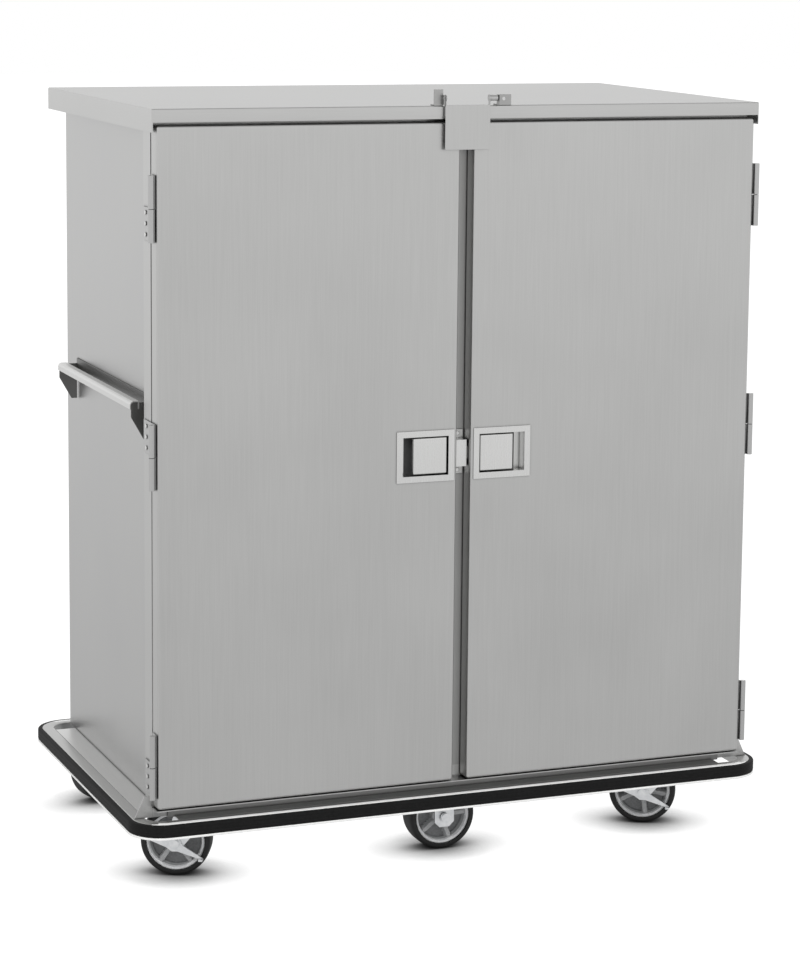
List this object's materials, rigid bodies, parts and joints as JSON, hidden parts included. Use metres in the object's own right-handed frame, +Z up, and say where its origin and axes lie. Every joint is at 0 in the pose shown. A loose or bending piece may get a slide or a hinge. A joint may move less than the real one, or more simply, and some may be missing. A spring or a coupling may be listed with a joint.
{
  "type": "enclosed meal tray cart",
  "caption": "Enclosed sheet steel meal tray cart with hinged doors over tray slides, push handles, a wrap-round bumper and swivel casters.",
  "frame": {"origin": "on the floor under the middle of the bumper's outline", "axes": "+X to the cart's right seen from the doors, +Y from the doors to the back, +Z up"},
  "size_m": [1.2932, 0.7926, 1.482],
  "materials": {
    "brushed_steel": "brushed stainless steel sheet",
    "interior_steel": "plain stainless steel sheet",
    "bright_steel": "bright stainless hardware",
    "zinc": "bright zinc plate on pressed steel",
    "bumper_rubber": "black extruded bumper strip",
    "gasket_rubber": "dark grey seal",
    "tyre_rubber": "black rubber tread",
    "dark_steel": "dark grey coated steel",
    "wheel_plastic": "grey moulded wheel core"
  },
  "bodies": {
    "cart": {"base_pan": "interior_steel", "side_decks": "brushed_steel", "end_decks": "brushed_steel", "corner_gussets": "brushed_steel", "bumper_channel": "brushed_steel", "bumper_strip": "bumper_rubber", "side_panel_left": "brushed_steel", "side_panel_right": "brushed_steel", "back_panel": "brushed_steel", "front_frame": "brushed_steel", "centre_post": "brushed_steel", "centre_partition": "interior_steel", "top_cover": "brushed_steel", "tray_slides_left": "interior_steel", "tray_slides_right": "interior_steel", "push_handle_left": "brushed_steel", "push_handle_right": "brushed_steel", "handle_brackets": "dark_steel", "hinge_cabinet_leaves": "bright_steel", "hinge_pins": "bright_steel", "screws": "bright_steel", "latch_strike": "bright_steel", "transport_ears": "bright_steel", "transport_pins": "bright_steel", "rigid_forks": "zinc", "swivel_plates": "zinc", "caster_bolts": "zinc"},
    "door_left": {"door_shell_left": "brushed_steel", "door_liner_left": "interior_steel", "door_gasket_left": "gasket_rubber", "hinge_door_leaves_left": "bright_steel", "latch_housing_left": "bright_steel"},
    "paddle_left": {"latch_paddle_left": "bright_steel"},
    "bolt_left": {"latch_bolt_left": "bright_steel"},
    "door_right": {"door_shell_right": "brushed_steel", "door_liner_right": "interior_steel", "door_gasket_right": "gasket_rubber", "hinge_door_leaves_right": "bright_steel", "latch_housing_right": "bright_steel"},
    "paddle_right": {"latch_paddle_right": "bright_steel"},
    "bolt_right": {"latch_bolt_right": "bright_steel"},
    "flap": {"transport_flap": "bright_steel"},
    "swivel_front_left": {"swivel_fork_front_left": "zinc"},
    "swivel_front_right": {"swivel_fork_front_right": "zinc"},
    "swivel_rear_left": {"swivel_fork_rear_left": "zinc"},
    "swivel_rear_right": {"swivel_fork_rear_right": "zinc"},
    "wheel_front_left": {"wheel_core_front_left": "wheel_plastic", "tyre_front_left": "tyre_rubber"},
    "wheel_front_right": {"wheel_core_front_right": "wheel_plastic", "tyre_front_right": "tyre_rubber"},
    "wheel_rear_left": {"wheel_core_rear_left": "wheel_plastic", "tyre_rear_left": "tyre_rubber"},
    "wheel_rear_right": {"wheel_core_rear_right": "wheel_plastic", "tyre_rear_right": "tyre_rubber"},
    "wheel_front_middle": {"wheel_core_front_middle": "wheel_plastic", "tyre_front_middle": "tyre_rubber"},
    "wheel_rear_middle": {"wheel_core_rear_middle": "wheel_plastic", "tyre_rear_middle": "tyre_rubber"},
    "brake_front_left": {"brake_pedal_front_left": "zinc"},
    "brake_front_right": {"brake_pedal_front_right": "zinc"}
  },
  "joints": [
    {"name": "door_hinge_left", "type": "hinge", "parent": "cart", "child": "door_left", "pos_m": [-0.6085, -0.3648, 0.7925], "axis": [0, 0, -1], "range_deg": [0, 200]},
    {"name": "door_hinge_right", "type": "hinge", "parent": "cart", "child": "door_right", "pos_m": [0.6085, -0.3648, 0.7925], "axis": [0, 0, 1], "range_deg": [0, 200]},
    {"name": "paddle_pull_left", "type": "hinge", "parent": "door_left", "child": "paddle_left", "pos_m": [-0.0395, -0.3633, 0.796], "axis": [0, 0, 1], "range_deg": [0, 40], "stiffness_Nm_per_rad": 0.6},
    {"name": "paddle_pull_right", "type": "hinge", "parent": "door_right", "child": "paddle_right", "pos_m": [0.0395, -0.3633, 0.796], "axis": [0, 0, -1], "range_deg": [0, 40], "stiffness_Nm_per_rad": 0.6},
    {"name": "bolt_slide_left", "type": "slide", "parent": "door_left", "child": "bolt_left", "axis": [-1, 0, 0], "range_m": [0, 0.0045]},
    {"name": "bolt_slide_right", "type": "slide", "parent": "door_right", "child": "bolt_right", "axis": [1, 0, 0], "range_m": [0, 0.0045]},
    {"name": "flap_hinge", "type": "hinge", "parent": "cart", "child": "flap", "pos_m": [0, -0.3748, 1.466], "axis": [-1, 0, 0], "range_deg": [0, 265]},
    {"name": "swivel_turn_front_left", "type": "hinge", "parent": "cart", "child": "swivel_front_left", "pos_m": [-0.488, -0.2598, 0.145], "axis": [0, 0, 1], "continuous": true},
    {"name": "swivel_turn_front_right", "type": "hinge", "parent": "cart", "child": "swivel_front_right", "pos_m": [0.488, -0.2598, 0.145], "axis": [0, 0, 1], "continuous": true},
    {"name": "swivel_turn_rear_left", "type": "hinge", "parent": "cart", "child": "swivel_rear_left", "pos_m": [-0.488, 0.2769, 0.145], "axis": [0, 0, 1], "continuous": true},
    {"name": "swivel_turn_rear_right", "type": "hinge", "parent": "cart", "child": "swivel_rear_right", "pos_m": [0.488, 0.2769, 0.145], "axis": [0, 0, 1], "continuous": true},
    {"name": "wheel_spin_front_left", "type": "hinge", "parent": "swivel_front_left", "child": "wheel_front_left", "pos_m": [-0.52516, -0.24247, 0.067], "axis": [0.4226, 0.9063, 0], "continuous": true},
    {"name": "wheel_spin_front_right", "type": "hinge", "parent": "swivel_front_right", "child": "wheel_front_right", "pos_m": [0.45084, -0.24247, 0.067], "axis": [0.4226, 0.9063, 0], "continuous": true},
    {"name": "wheel_spin_rear_left", "type": "hinge", "parent": "swivel_rear_left", "child": "wheel_rear_left", "pos_m": [-0.5276, 0.26629, 0.067], "axis": [-0.2588, 0.9659, 0], "continuous": true},
    {"name": "wheel_spin_rear_right", "type": "hinge", "parent": "swivel_rear_right", "child": "wheel_rear_right", "pos_m": [0.4484, 0.26629, 0.067], "axis": [-0.2588, 0.9659, 0], "continuous": true},
    {"name": "wheel_spin_front_middle", "type": "hinge", "parent": "cart", "child": "wheel_front_middle", "pos_m": [0, -0.2598, 0.067], "axis": [0, 1, 0], "continuous": true},
    {"name": "wheel_spin_rear_middle", "type": "hinge", "parent": "cart", "child": "wheel_rear_middle", "pos_m": [0, 0.2769, 0.067], "axis": [0, 1, 0], "continuous": true},
    {"name": "brake_press_front_left", "type": "hinge", "parent": "swivel_front_left", "child": "brake_front_left", "pos_m": [-0.52516, -0.24247, 0.067], "axis": [0.4226, 0.9063, 0], "range_deg": [0, 20]},
    {"name": "brake_press_front_right", "type": "hinge", "parent": "swivel_front_right", "child": "brake_front_right", "pos_m": [0.45084, -0.24247, 0.067], "axis": [0.4226, 0.9063, 0], "range_deg": [0, 20]}
  ],
  "couplings": [
    {"joint": "bolt_slide_left", "follows": "paddle_pull_left", "m_per_rad": 0.0064},
    {"joint": "bolt_slide_right", "follows": "paddle_pull_right", "m_per_rad": 0.0064}
  ]
}
